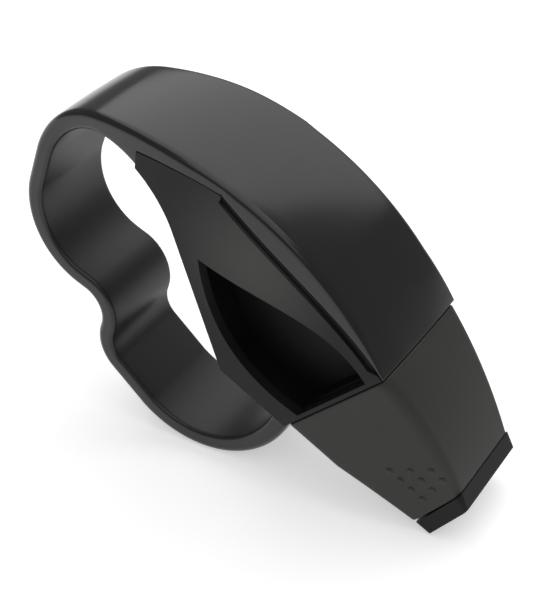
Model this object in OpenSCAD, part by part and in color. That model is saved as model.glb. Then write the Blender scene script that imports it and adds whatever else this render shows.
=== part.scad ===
/* [Crest] */
// Radius of the top cover's curve, seen from the side
crest_r = 44; // [38:0.2:60]
// Highest point of the crest, forward of the front finger's centre
crest_top_x = -5.7; // [-10:0.1:-2]
// Height of the crest over the front finger's centre
crest_top_z = 29.9; // [28:0.1:34]
// Where the top cover ends and the mouth grip begins
nose_x = 23.1; // [20:0.1:26]
// Thickness of the top cover at its front edge
nose_t = 0.4; // [0.35:0.05:0.9]
// Where the seam under the top cover starts
seam_x = -4; // [-7:0.1:-1]
// Thickness of the top cover there
seam_t = 1.5; // [1.2:0.1:2.2]
// How much more its thickness is between those two places
seam_rise = 2.1; // [1:0.1:2.4]

/* [Finger loops] */
// Width of the strap round the fingers
strap_w = 13.7; // [10:0.1:16]
// Thickness of the strap
strap_t = 2.6; // [2:0.1:3.5]
// Outer radius of the front finger loop
front_loop_r = 14.7; // [13:0.1:17]
// Outer radius of the corner under the waist
corner_r = 6.1; // [4:0.1:7]
// Depth of that corner's centre under the front finger's centre
corner_drop = 5.8; // [5:0.1:8]
// Outer radius of the lower half of the rear finger loop
rear_lower_r = 11.9; // [10:0.1:13]
// Outer radius of the upper half of the rear finger loop
rear_upper_r = 12.4; // [11:0.1:14]
// Reach of the rear loop behind the front finger's centre
rear_reach = 30.9; // [29:0.1:34]
// Depth of the rear loop's floor under the front finger's centre
rear_floor_drop = 2; // [0.5:0.1:3]
// Outer radius of the waist between the two fingers
waist_r = 3.7; // [2.5:0.1:4.5]
// Radius of the strap's outer edges
edge_r = 1.3; // [0.6:0.1:1.3]
// Radius of the strap's edges on the finger side
inner_edge_r = 0.6; // [0.3:0.1:1]

/* [Body] */
// Width over the two side covers
body_w = 19.5; // [17:0.1:22]
// Where the body starts to narrow towards the strap
taper_x = -8.4; // [-11:0.1:-5]
// Length over which it narrows
taper_l = 27; // [20:0.1:30]
// Thickness of a side cover
cover_t = 1.5; // [1.2:0.1:2]
// Thickness of the core's outer walls
wall_t = 1.4; // [1:0.1:1.8]
// Thickness of the partitions between the chambers
partition_t = 1.2; // [0.8:0.1:1.6]
// Width of the centre chamber
centre_w = 5; // [4:0.1:6]
// Radius of the scoop behind the chambers
scoop_r = 14.2; // [13.6:0.1:14.8]
// Where the underside starts
belly_x = 4.4; // [2:0.1:6]
// Height of the underside there
belly_z = 4.3; // [3.5:0.1:6]
// Shoulder of the band against which the chambers rest
shoulder_x = -17; // [-18:0.1:-15]

/* [Mouthpiece] */
// Lower front corner, forward of the front finger's centre
tip_low_x = 37; // [34:0.1:40]
// Height of that corner
tip_low_z = -0.5; // [-1.5:0.1:0.5]
// Upper front corner
tip_high_x = 39.2; // [37:0.1:42]
// Height of that corner
tip_high_z = 6.4; // [5.5:0.1:7.5]
// Width of the mouthpiece at its tip
tip_w = 13.9; // [12:0.1:17]
// Bulge of the mouthpiece's top over a straight line
top_bulge = 0.8; // [0:0.1:1.5]
// Foot of the grip's rear edge, on the underside
grip_foot_x = 15; // [14.8:0.1:16.5]
// Thickness of the soft grip
grip_t = 1.3; // [1:0.1:1.6]
// How far the grip lies under the top cover's surface
grip_step = 0.3; // [0.2:0.1:0.8]
// Radius of the grip's edges
grip_edge_r = 1.6; // [0.8:0.1:2]
// Length of the hard tip in front of the grip
tip_lip_l = 2.1; // [1.5:0.1:3]
// How far the hard tip stands over the grip
tip_lip_rise = 0.15; // [0:0.05:0.5]

/* [Windways] */
// Depth of the three windways
windway_t = 1; // [0.8:0.1:1.2]
// Thickness of the plate under the centre windway
floor_t = 1.3; // [1:0.1:1.5]
// Width of the ledge on each side of that plate
floor_ledge = 1.5; // [1:0.1:2]
// Thickness of the covers' tongues under the grip
tongue_t = 1; // [0.8:0.1:1.2]
// Length of the centre chamber's sound window
centre_window_l = 5.5; // [4:0.1:6]
// Length of the hole in the centre chamber's roof
lid_l = 15; // [12:0.5:16]
// Width of the ledge that the lid rests on
lid_ledge = 0.9; // [0.6:0.1:1]
// Thickness of the lid's plate
lid_t = 0.7; // [0.6:0.1:0.9]

/* [Side windows] */
// Wall between the window's rear point and the scoop
leaf_rear_gap = 2.5; // [2:0.1:3.5]
// Depth of that point under the nose
leaf_rear_drop = 1.3; // [0.8:0.1:2.6]
// Rise of the window's upper edge over its chord
leaf_upper_rise = 1.9; // [1:0.1:2.4]
// Bulge of the window's lower edge under its chord
leaf_lower_rise = 3.6; // [2.6:0.1:4]
// Wall between the window and the grip's rear edge
leaf_front_gap = 0.6; // [0.4:0.1:1]
// Depth of the window's upper front corner under the nose
leaf_front_drop = 2.2; // [1.8:0.1:3]
// Height of its lower front corner over the foot of the grip's rear edge
leaf_foot_rise = 3; // [2.4:0.1:3.6]
// Depth of the groove along the cover's upper edge
groove_t = 0.5; // [0.3:0.1:0.7]
// Height of that groove
groove_h = 0.6; // [0.4:0.1:1]

/* [Hidden] */

// Gap between parts that are welded or pressed together
weld_gap = 0.05;
// Extra length of a cut past the surface that it opens
cut = 1;
// Faces of a full circle
fine = 120;

// Side view, as [forward, up] from the front finger's centre
crest_c = [crest_top_x, crest_top_z - crest_r];
rear_lower_c = [rear_lower_r - rear_reach, rear_lower_r - rear_floor_drop];
rear_upper_x = rear_upper_r - rear_reach;
rear_upper_c = [rear_upper_x, crest_c.y
                + sqrt(pow(crest_r - rear_upper_r, 2) - pow(rear_upper_x - crest_c.x, 2))];
waist_c = [-front_loop_r - waist_r, -rear_floor_drop - waist_r];
corner_c = [corner_r - front_loop_r, -corner_drop];
crest_end = atan2(rear_upper_c.y - crest_c.y, rear_upper_c.x - crest_c.x);
nose_a = acos((nose_x - crest_c.x) / crest_r);
corner_a = 360 - 2 * atan2(front_loop_r - corner_r, corner_drop);
nose = [nose_x, crest_c.y + crest_r * sin(nose_a)];
belly = [belly_x, belly_z];
tip_low = [tip_low_x, tip_low_z];
tip_high = [tip_high_x, tip_high_z];

// Lines of the body, each as a point and a direction
function unit(v) = v / norm(v);
function left_of(d) = [-d.y, d.x];
function moved(line, by) = [line[0] + by * left_of(line[1]), line[1]];
function crossing(a, b) = a[0] + a[1] * ((b[0] - a[0]) * left_of(b[1])) / (a[1] * left_of(b[1]));
function line_z(line, x) = line[0].y + (x - line[0].x) * line[1].y / line[1].x;

scoop_gap = belly - rear_lower_c;
scoop_a = atan2(scoop_gap.y, scoop_gap.x) + acos(scoop_r / norm(scoop_gap));
scoop_line = [belly, [sin(scoop_a), -cos(scoop_a)]];
under_line = [belly, unit(tip_low - belly)];
grip_foot = [grip_foot_x, line_z(under_line, grip_foot_x)];
grip_line = [grip_foot, unit(nose - grip_foot)];
tip_line = [tip_low, unit(tip_high - tip_low)];

// Half the body's width at a distance along it
function smooth(u) = u * u * (3 - 2 * u);
function limited(u) = min(max(u, 0), 1);
function half_at(x) = body_w / 2
    - (body_w - strap_w) / 2 * smooth(limited((taper_x - x) / taper_l))
    - (body_w - tip_w) / 2 * limited((x - nose_x) / (tip_high.x - nose_x));

// Standing on the front loop and the tip's lower edge, with the origin under the middle
tip_foot = tip_low - tip_lip_rise * tip_line[1];
tip_crown = tip_high + tip_lip_rise * tip_line[1];
stand_tilt = asin(front_loop_r / norm(tip_foot)) + atan2(tip_foot.y, tip_foot.x);
function tilted_x(p) = p.x * cos(stand_tilt) + p.y * sin(stand_tilt);
rear_end = tilted_x(rear_lower_c) - rear_lower_r;
front_end = tilted_x(tip_crown);
mid_x = (rear_end + front_end) / 2;

module stand() {
    translate([-mid_x, 0, front_loop_r])
        rotate([0, stand_tilt, 0])
            children();
}

// A side view outline given its width, centred on the middle plane
module wide(w) {
    rotate([90, 0, 0])
        linear_extrude(height = w, center = true)
            children();
}

// A side view outline given its place across the body
module between(y0, y1) {
    translate([0, y1, 0])
        rotate([90, 0, 0])
            linear_extrude(height = y1 - y0)
                children();
}

// A closed skin over rings of points that all have the same count
function skin_faces(rings, n) = concat(
    [[for (i = [n - 1 : -1 : 0]) i]],
    [for (k = [0 : rings - 2]) for (i = [0 : n - 1])
        [k * n + (i + 1) % n, k * n + n + (i + 1) % n, k * n + n + i, k * n + i]],
    [[for (i = [0 : n - 1]) (rings - 1) * n + i]]);

module skin(rings) {
    polyhedron(points = [for (ring = rings) each ring],
               faces = skin_faces(len(rings), len(rings[0])));
}

// Points round a rectangle with rounded corners, as [across, down from the top]
corner_steps = 4;
function corner_points(c, r, a) = [for (i = [0 : corner_steps])
    c + r * [cos(a + 90 * i / corner_steps), -sin(a + 90 * i / corner_steps)]];
function section(w, t, r_top, r_low) = concat(
    corner_points([w / 2 - r_top, r_top], r_top, 0),
    corner_points([-w / 2 + r_top, r_top], r_top, 90),
    corner_points([-w / 2 + r_low, t - r_low], r_low, 180),
    corner_points([w / 2 - r_low, t - r_low], r_low, 270));

// Grip band: stations along its outer face, as [point, outward direction, thickness, width]
crest_step_a = 3;
loop_step_a = 7.5;
shoulder_draft = 0.4;
lug_w = 6;
lug_t = 1.5;
lug_h = 1.7;
band_inset = 0.05;

function outward(a) = [cos(a), sin(a)];
// Distance from a point on the crest to a circle under it
function depth_to(p, a, c, r) = let (d = p - c, along = d * outward(a))
    along - sqrt(along * along - (d * d - r * r));
shoulder_a = acos((shoulder_x - crest_c.x) / crest_r);
shoulder_line = [crest_c + crest_r * outward(shoulder_a), -outward(shoulder_a)];
shoulder_turn = shoulder_draft / crest_r * 180 / PI;

// Depth of the seat under the crest: a long bow from the nose to the seam's start, and a
// straight run from there to the shoulder
seam_a = acos((seam_x - crest_c.x) / crest_r);
seam_lean = 1.3;
function bow(u) = 4 * u * (1 - u);
function seat_depth(a) = let (u = (a - nose_a) / (seam_a - nose_a))
    u < 1 ? nose_t + (seam_t - nose_t) * u + seam_rise * bow(pow(max(u, 0), seam_lean))
          : seam_t + (strap_t - seam_t) * (a - seam_a) / (shoulder_a - seam_a);

// The band rests on the seat in front of its shoulder and carries on the scoop behind it
function crest_thickness(a) = let (p = crest_c + crest_r * outward(a))
    a < shoulder_a + shoulder_turn / 2 ? seat_depth(a)
                                       : max(strap_t, depth_to(p, a, rear_lower_c, scoop_r));

function steps_for(from, to, step) = max(1, ceil(abs(to - from) / step));
function crest_angles(from, to, skip = 0) = let (n = steps_for(from, to, crest_step_a))
    [for (i = [skip : n]) from + (to - from) * i / n];
seat_angles = concat(crest_angles(nose_a, seam_a), crest_angles(seam_a, shoulder_a, 1));
crest_stations = [for (a = concat(seat_angles, crest_angles(shoulder_a + shoulder_turn, crest_end)))
    let (p = crest_c + crest_r * outward(a))
    [p, outward(a), crest_thickness(a), 2 * (half_at(p.x) - band_inset)]];

// An arc of the strap: side is 1 where its centre is on the finger side, and -1 at the waist
function loop_arc(c, r, from, to, side) = let (n = steps_for(from, to, loop_step_a))
    [for (i = [0 : n]) let (a = from + (to - from) * i / n, p = c + r * outward(a))
        [p, side * outward(a), strap_t, strap_w - 2 * band_inset]];

// The upper half of the rear loop still narrows to the strap's width
function rear_arc(c, r, from, to) = let (n = steps_for(from, to, loop_step_a))
    [for (i = [1 : n]) let (a = from + (to - from) * i / n, p = c + r * outward(a))
        [p, outward(a), strap_t, 2 * (half_at(p.x) - band_inset)]];

band_stations = concat(
    crest_stations,
    rear_arc(rear_upper_c, rear_upper_r, crest_end, 180),
    loop_arc(rear_lower_c, rear_lower_r, 180, 270, 1),
    loop_arc(waist_c, waist_r, 90, 0, -1),
    loop_arc(corner_c, corner_r, 180, corner_a, 1),
    loop_arc([0, 0], front_loop_r, corner_a, 360, 1));

function band_ring(s) = [for (q = section(s[3], s[2], min(edge_r, s[2] / 2),
                                          min(inner_edge_r, s[2] / 3)))
    [s[0].x - q.y * s[1].x, q.x, s[0].y - q.y * s[1].y]];

// The strap ends flat on the underside, and a lug on its end goes into the core
lug_x = front_loop_r - (strap_t + lug_t) / 2;
function root_ring(w, t, r, rise) = [for (q = section(w, t, r, r))
    let (x = front_loop_r - (strap_t - t) / 2 - q.y)
    [x, q.x, line_z(under_line, x) - weld_gap + rise]];
root_rings = [root_ring(strap_w - 2 * band_inset, strap_t, inner_edge_r, 0),
              root_ring(lug_w, lug_t, lug_t / 3, 0),
              root_ring(lug_w, lug_t, lug_t / 3, lug_h)];

module grip_band() {
    color("#2b2c2c")
        stand()
            skin(concat([for (s = band_stations) band_ring(s)], root_rings));
}

// Plan outline of the body, drawn in by an inset
taper_steps = 12;
plan_xs = concat([for (i = [0 : taper_steps]) taper_x - taper_l * (1 - i / taper_steps)],
                 [nose_x, tip_high.x, tip_high.x + cut]);
plan_low = -front_loop_r;
plan_high = crest_top_z + cut;
module plan(inset) {
    points = [for (x = plan_xs) [x, half_at(x) - inset]];
    translate([0, 0, plan_low])
        linear_extrude(height = plan_high - plan_low)
            polygon(concat(points, [for (i = [len(points) - 1 : -1 : 0]) [points[i].x, -points[i].y]]));
}

// The layer between two insets on the left side
module left_layer(outer, inner) {
    points = [for (x = plan_xs) [x, half_at(x) - outer]];
    back = [for (i = [len(plan_xs) - 1 : -1 : 0]) [plan_xs[i], half_at(plan_xs[i]) - inner]];
    translate([0, 0, plan_low])
        linear_extrude(height = plan_high - plan_low)
            polygon(concat(points, back));
}

// Side view of all that lies under the seat, drawn in from it
function seat_point(a, inset) = crest_c + (crest_r - seat_depth(a) - inset) * outward(a);
module under_seat(inset) {
    points = [for (a = seat_angles) seat_point(a, inset)];
    last = len(points) - 1;
    front = points[0] + 2 * cut * unit(points[0] - points[1]);
    rear = points[last] + 2 * cut * unit(points[last] - points[last - 1]);
    polygon(concat([front], points, [rear, [rear.x, plan_low], [front.x, plan_low]]));
}

// Side view of the body, drawn in from its seat, scoop and underside, shoulder and grip edge
module body_side(inset, roof, back, front) {
    low = moved(under_line, inset);
    slope = moved(scoop_line, inset);
    edge = moved(grip_line, front);
    over = edge[0] + edge[1] * (norm(nose - grip_foot) + cut);
    heel = moved(shoulder_line, back);
    high = crest_top_z + cut;
    difference() {
        intersection() {
            under_seat(roof);
            polygon([[heel[0].x, high],
                     heel[0],
                     heel[0] + heel[1] * rear_lower_r,
                     rear_lower_c + (scoop_r + inset) * outward(scoop_a),
                     crossing(slope, low),
                     crossing(low, edge),
                     over,
                     [over.x, high]]);
        }
        translate(rear_lower_c)
            circle(r = scoop_r + inset, $fn = fine);
    }
}

// Mouthpiece: stations from the grip's rear edge to the tip, each from top to bottom
nose_low = nose - grip_step * grip_line[1];
mouth_steps = 8;
tip_normal = [tip_line[1].y, -tip_line[1].x];
top_run = (tip_high - nose_low) * tip_normal;
grip_start = 2 * weld_gap / top_run;
grip_end = 1 - (tip_lip_l + 2 * weld_gap) / top_run;
function mouth_low(u) = grip_foot + u * (tip_low - grip_foot);
function mouth_high(u) = nose_low + u * (tip_high - nose_low)
    + 4 * u * (1 - u) * top_bulge * left_of(unit(tip_high - nose_low));
function mouth_point(u, share) = mouth_low(u) + share * (mouth_high(u) - mouth_low(u));

// Half the grip's width, a little inside the covers' faces
grip_inset = 0.05;
function mouth_ring(u) = let (high = mouth_high(u), low = mouth_low(u), h = norm(high - low),
                              w = 2 * half_at(high.x))
    [for (q = section(w, h, grip_edge_r, grip_edge_r)) let (p = high + (low - high) * q.y / h)
        [p.x, 2 * q.x / w * (half_at(p.x) - grip_inset), p.y]];

// Side view of the hard block inside the grip, which ends inside the hard tip
module block_side(inset, back) {
    end = 1 - tip_lip_l / 2 / top_run;
    top = [for (i = [0 : mouth_steps]) mouth_high(end * i / mouth_steps) - inset * tip_line[1]];
    low = moved(under_line, inset);
    rear = moved(grip_line, back);
    polygon(concat([crossing(low, rear), crossing(low, moved(tip_line, tip_lip_l / 2))],
                   [for (i = [mouth_steps : -1 : 0]) top[i]],
                   [crossing([top[0], unit(top[0] - top[1])], rear)]));
}

// Hard tip: a rounded collar at the front end of the block
lip_edge_r = grip_edge_r + tip_lip_rise;
module lip_outline(w, h, r) {
    for (side = [-1, 1])
        for (end = [-1, 1])
            translate([end * (h / 2 - r), side * (w / 2 - r)])
                circle(r = r, $fn = 48);
    square([h - 2 * r, w], center = true);
    square([h, w - 2 * r], center = true);
}

module tip_lip() {
    middle = (tip_low + tip_high) / 2;
    lean = atan2(tip_line[1].x, tip_line[1].y);
    translate([middle.x, 0, middle.y])
        rotate([0, 90 + lean, 0])
            translate([0, 0, -tip_lip_l])
                linear_extrude(height = tip_lip_l)
                    lip_outline(tip_w + 2 * tip_lip_rise, norm(tip_high - tip_low) + 2 * tip_lip_rise,
                                lip_edge_r);
}

// Windways
windway_rise = grip_t + weld_gap + floor_t;
root_wall = 1;
window_front_x = front_loop_r - strap_t - root_wall;
window_back_x = window_front_x - centre_window_l;
block_in = grip_t + weld_gap;
tongue_in = block_in + tongue_t;
tip_flue_shares = [0.24, 0.78];
rear_flue_shares = [0.22, 0.8];
tongue_ledge_share = 0.06;
tongue_end = grip_end - cover_t / top_run;

// A strip along the underside between two heights, from one place to another
module under_strip(low, high, x0, x1) {
    a = moved(under_line, low);
    b = moved(under_line, high);
    polygon([[x0, line_z(a, x0)], [x1, line_z(a, x1)], [x1, line_z(b, x1)], [x0, line_z(b, x0)]]);
}

// A side windway, as wide as the chamber's front and narrower at the tip
module side_flue(from, to, ledge) {
    points = [for (u = [from, to]) [for (k = [0, 1])
        mouth_point(u, rear_flue_shares[k] + u * (tip_flue_shares[k] - rear_flue_shares[k])
                       + (k == 0 ? -ledge : ledge))]];
    polygon([points[0][0], points[1][0], points[1][1], points[0][1]]);
}

floor_w = centre_w + 2 * floor_ledge;
floor_back_x = grip_foot_x + 2 * wall_t;
floor_front_x = mouth_low(grip_end).x - wall_t;
flue_back = -(wall_t + leaf_front_gap) / top_run;
flue_front = 1 + cut / top_run;

// Lid in the centre chamber's roof
lid_back_x = seam_x + 2 * lid_ledge;
lid_front_x = lid_back_x + lid_l;
module roof_strip(top, bottom, x0, x1) {
    intersection() {
        difference() {
            under_seat(top);
            under_seat(bottom);
        }
        translate([x0, nose.y])
            square([x1 - x0, crest_top_z]);
    }
}

partition_out = centre_w / 2 + partition_t;

module side_chamber() {
    between(partition_out, body_w)
        body_side(wall_t, weld_gap + wall_t, wall_t, leaf_front_gap);
}

module centre_chamber() {
    difference() {
        between(-centre_w / 2, centre_w / 2)
            body_side(wall_t, weld_gap + wall_t, wall_t, leaf_front_gap);
        wide(body_w)
            under_strip(-cut, windway_rise + windway_t + partition_t, window_front_x, nose_x);
    }
}

// The centre chamber's sound window, with a sharp edge behind it
module centre_window() {
    floor = moved(under_line, wall_t + cut);
    out = moved(under_line, -cut);
    between(-centre_w / 2, centre_w / 2)
        polygon([[window_back_x, line_z(floor, window_back_x)],
                 [window_back_x - wall_t - cut, line_z(out, window_back_x - wall_t - cut)],
                 [window_front_x, line_z(out, window_front_x)],
                 [window_front_x, line_z(floor, window_front_x)]]);
}

module side_windway() {
    intersection() {
        left_layer(tongue_in, tongue_in + windway_t);
        wide(2 * body_w)
            side_flue(flue_back, flue_front, 0);
    }
    intersection() {
        left_layer(-cut, tongue_in + weld_gap);
        wide(2 * body_w)
            side_flue(flue_back, tongue_end + weld_gap / top_run,
                      tongue_ledge_share + weld_gap / top_run);
    }
}

module both_sides() {
    children();
    mirror([0, 1, 0])
        children();
}

module core_body() {
    difference() {
        union() {
            intersection() {
                wide(body_w)
                    body_side(0, weld_gap, weld_gap, 0);
                plan(cover_t + weld_gap);
            }
            intersection() {
                wide(body_w)
                    block_side(block_in + 2 * weld_gap, leaf_front_gap + weld_gap);
                plan(cover_t + weld_gap);
            }
            intersection() {
                wide(body_w)
                    block_side(block_in, weld_gap / 2);
                plan(block_in);
            }
            tip_lip();
        }
        both_sides() {
            side_chamber();
            side_windway();
        }
        centre_chamber();
        centre_window();
        between(-centre_w / 2, centre_w / 2)
            under_strip(windway_rise, windway_rise + windway_t, window_front_x - cut, tip_high.x + cut);
        between(-floor_w / 2 - weld_gap, floor_w / 2 + weld_gap)
            under_strip(-cut, windway_rise + weld_gap, floor_back_x - weld_gap, floor_front_x + weld_gap);
        between(-lug_w / 2 - weld_gap, lug_w / 2 + weld_gap)
            under_strip(-cut, lug_h + weld_gap, lug_x - weld_gap, lug_x + lug_t + weld_gap);
        between(-centre_w / 2, centre_w / 2)
            roof_strip(-cut, wall_t + cut, lid_back_x, lid_front_x);
        between(-centre_w / 2 - lid_ledge - weld_gap, centre_w / 2 + lid_ledge + weld_gap)
            roof_strip(-cut, lid_t + 2 * weld_gap, lid_back_x - lid_ledge - weld_gap,
                       lid_front_x + lid_ledge + weld_gap);
    }
}

module chamber_core() {
    color("#17181a")
        stand()
            core_body();
}

// Leaf-shaped window: a leaning bow above, an even one below and a straight front
leaf_steps = 16;
leaf_lean = 1.9;
function bowed(a, b, rise, lean, last) = [for (i = [0 : last]) let (u = i / leaf_steps)
    a + u * (b - a) + rise * bow(pow(u, lean)) * left_of(unit(b - a))];
function on_line(line, z) = line[0] + line[1] * (z - line[0].y) / line[1].y;

module leaf() {
    rear = on_line(moved(scoop_line, leaf_rear_gap), nose.y - leaf_rear_drop);
    front = moved(grip_line, leaf_front_gap);
    top = on_line(front, nose.y - leaf_front_drop);
    foot = on_line(front, grip_foot.y + leaf_foot_rise);
    polygon(concat(bowed(rear, top, leaf_upper_rise, leaf_lean, leaf_steps),
                   bowed(foot, rear, leaf_lower_rise, 1, leaf_steps - 1)));
}

rib_t = 0.8;
rib_h = 0.8;
module left_cover_body() {
    difference() {
        union() {
            intersection() {
                left_layer(0, cover_t);
                wide(2 * body_w)
                    body_side(0, weld_gap, weld_gap, weld_gap);
            }
            intersection() {
                left_layer(block_in, tongue_in);
                wide(2 * body_w)
                    intersection() {
                        side_flue(flue_back, tongue_end, tongue_ledge_share);
                        block_side(0, leaf_front_gap - weld_gap);
                    }
            }
            intersection() {
                left_layer(cover_t / 2, cover_t + rib_t);
                wide(2 * body_w)
                    difference() {
                        body_side(wall_t + weld_gap, wall_t + 2 * weld_gap, wall_t + weld_gap,
                                  leaf_front_gap + weld_gap);
                        under_seat(wall_t + 2 * weld_gap + rib_h);
                    }
            }
        }
        wide(2 * body_w)
            leaf();
        intersection() {
            left_layer(-cut, groove_t);
            wide(2 * body_w)
                roof_strip(-cut, groove_h + weld_gap, seam_x, nose_x);
        }
    }
}

module left_chamber_cover() {
    color("#3b3c3a")
        stand()
            left_cover_body();
}

module right_chamber_cover() {
    color("#3b3c3a")
        stand()
            mirror([0, 1, 0])
                left_cover_body();
}

module centre_chamber_lid() {
    color("#232425")
        stand() {
            between(-centre_w / 2 - lid_ledge, centre_w / 2 + lid_ledge)
                roof_strip(weld_gap, weld_gap + lid_t, lid_back_x - lid_ledge, lid_front_x + lid_ledge);
            between(-centre_w / 2 + weld_gap, centre_w / 2 - weld_gap)
                roof_strip(lid_t, weld_gap + wall_t, lid_back_x + weld_gap, lid_front_x - weld_gap);
        }
}

module windway_floor() {
    color("#232425")
        stand()
            between(-floor_w / 2, floor_w / 2)
                under_strip(block_in, windway_rise, floor_back_x, floor_front_x);
}

module mouth_grip() {
    color("#4a4a47")
        stand()
            difference() {
                skin([for (i = [mouth_steps : -1 : 0])
                    mouth_ring(grip_start + (grip_end - grip_start) * i / mouth_steps)]);
                intersection() {
                    wide(2 * body_w)
                        block_side(grip_t, cut);
                    plan(grip_t);
                }
            }
}

grip_band();
chamber_core();
left_chamber_cover();
right_chamber_cover();
centre_chamber_lid();
windway_floor();
mouth_grip();
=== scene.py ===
"""Dresses a finger-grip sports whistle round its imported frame.

A band swept over a crest, two finger loops and a waist, plastic side covers with
leaf-shaped windows, a hard tip and a soft mouth grip with bite pips.
"""

import functools
import math

import bmesh
import bpy
from bpy.props import FloatProperty, FloatVectorProperty, IntProperty, PointerProperty
from mathutils import Matrix, Vector


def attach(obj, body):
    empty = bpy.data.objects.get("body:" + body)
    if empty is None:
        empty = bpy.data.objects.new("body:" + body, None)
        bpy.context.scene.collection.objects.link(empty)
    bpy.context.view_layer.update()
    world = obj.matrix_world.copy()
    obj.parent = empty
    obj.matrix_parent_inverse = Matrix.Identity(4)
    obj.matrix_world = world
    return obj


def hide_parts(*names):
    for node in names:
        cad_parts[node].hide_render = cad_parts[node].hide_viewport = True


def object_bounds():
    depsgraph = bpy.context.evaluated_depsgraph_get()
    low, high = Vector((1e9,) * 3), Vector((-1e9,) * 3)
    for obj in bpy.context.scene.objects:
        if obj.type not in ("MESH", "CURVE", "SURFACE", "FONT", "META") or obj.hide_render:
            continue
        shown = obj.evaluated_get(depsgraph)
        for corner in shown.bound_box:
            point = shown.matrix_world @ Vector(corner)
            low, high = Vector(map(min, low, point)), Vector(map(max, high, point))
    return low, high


bl_info = {
    "name": "Finger-grip whistle",
    "version": (1, 0, 0),
    "blender": (4, 5, 0),
    "location": "View3D > Sidebar > Whistle",
    "description": "Builds the visible pieces, finishes and stage of a finger-grip whistle",
    "category": "Object",
}

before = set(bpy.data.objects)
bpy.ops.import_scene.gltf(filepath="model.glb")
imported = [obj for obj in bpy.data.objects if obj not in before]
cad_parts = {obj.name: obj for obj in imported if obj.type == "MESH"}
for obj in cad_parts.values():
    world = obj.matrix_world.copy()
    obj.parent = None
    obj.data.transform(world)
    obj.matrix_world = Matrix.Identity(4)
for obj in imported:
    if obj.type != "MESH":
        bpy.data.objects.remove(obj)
BOX_LOW, BOX_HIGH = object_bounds()
BODY = "root"
ACROSS = Vector((0, 1, 0))
TOUCH = 1e-6  # metres within which two points are one
HARD_SHADE, SOFT_SHADE = 40, 35  # degrees up to which hard and soft pieces shade smooth
FLAT_ANGLE, EDGE_ANGLE = 0.6, 30  # degrees below which faces join and above which edges round
CREST_STEP, LOOP_STEP, CORNER_STEP, WAIST_STEP = 1.2, 4, 5, 8  # degrees between stations
END_STEPS, ROUND_STEPS = 4, 6  # steps round an end and round a section's corner
OUTER_ROWS, INNER_ROWS = 28, 8  # rows along the outside and the inside of the sleeve
EDGE_POWER = 3  # how late the sleeve's corners are drawn in towards the tip
RAY_START = 0.05  # metres beside the middle, from where pips are cast onto the sleeve
ON_ROUND = 0.01  # share of its radius by which a point may miss a corner's arc
CLOUD_START, CLOUD_SLOPE = 0.42, 3.0  # where wear starts in the cloud noise, and how fast
HAIR_SCALE, HAIR_SHARPNESS = 900.0, 60.0  # scratches per metre and their thinness
WORN_TONE = 1.4  # how much paler the covers are where they are worn
HORIZON, SKY_GREY, FLOOR_WHITE = 0.07, 0.24, 0.86  # height of the white band, and two tones


# Sizes


def number(name, default, description, **more):
    return FloatProperty(name=name, description=description, default=default, **more)


def length(name, default, description):
    """A size in metres."""
    return number(name, default, description, unit="LENGTH", precision=5)


def whole(name, default, description):
    return IntProperty(name=name, description=description, default=default, min=1)


def triple(name, default, description, subtype, **more):
    """Three numbers, such as a place or a direction."""
    return FloatVectorProperty(name=name, description=description, default=default,
                               subtype=subtype, **more)


def colour(name, default, description):
    """A linear colour."""
    return triple(name, default, description, "COLOR", min=0, max=1)


class WhistleBandSizes(bpy.types.PropertyGroup):
    """Side view of the band, measured forward and up from the front finger's centre"""

    crest_radius: length("Crest radius", 0.044, "Curve of the top, seen from the side")
    crest_forward: length("Crest forward", -0.0057, "Where the crest is highest")
    crest_height: length("Crest height", 0.0299, "Height of the crest")
    nose_forward: length("Nose forward", 0.0231, "Where the top ends at the mouth grip")
    nose_depth: length("Nose depth", 0.0004, "Thickness of the band's front edge")
    seam_forward: length("Seam forward", -0.004, "Where the seam under the top starts")
    seam_depth: length("Seam depth", 0.0015, "Thickness of the band there")
    seam_rise: length("Seam rise", 0.0021, "How much thicker the band is between those places")
    seam_lean: number("Seam lean", 1.3, "How far back that bow is thickest")
    shoulder_forward: length("Shoulder forward", -0.017, "Step that the chambers rest against")
    shoulder_run: length("Shoulder run", 0.00006, "Length of that step along the band")
    scoop_radius: length("Scoop radius", 0.0142, "Curve behind the chambers")
    strap_width: length("Strap width", 0.0137, "Width of the strap round the fingers")
    strap_depth: length("Strap depth", 0.0026, "Thickness of the strap")
    front_radius: length("Front loop radius", 0.0147, "Outer radius round the front finger")
    corner_radius: length("Corner radius", 0.0061, "Outer radius of the corner under the waist")
    corner_drop: length("Corner drop", 0.0058, "Depth of that corner's centre")
    rear_low_radius: length("Rear lower radius", 0.0119, "Lower half of the rear loop")
    rear_high_radius: length("Rear upper radius", 0.0124, "Upper half of the rear loop")
    rear_reach: length("Rear reach", 0.0309, "How far the rear loop lies behind")
    rear_drop: length("Rear drop", 0.002, "Depth of the rear loop's floor")
    waist_radius: length("Waist radius", 0.0037, "Outer radius between the two fingers")
    top_edge: length("Outer edge radius", 0.001, "Rounding of the outer edges")
    finger_edge: length("Finger edge radius", 0.0006, "Rounding of the edges on the fingers")
    seam_edge: length("Seam edge radius", 0.0003, "Rounding of the edges above the seam")
    seat_edge: length("Seat edge radius", 0.00012, "Rounding of the edges on the chambers")
    end_edge: length("End edge radius", 0.00012, "Rounding of the band's front end")
    crown: length("Crown", 0.00012, "How much the outer face falls towards its edges")
    lug_width: length("Lug width", 0.006, "Width of the lug on the strap's end")
    lug_depth: length("Lug depth", 0.0015, "Thickness of that lug")
    lug_height: length("Lug height", 0.0017, "Height of that lug")


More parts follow.
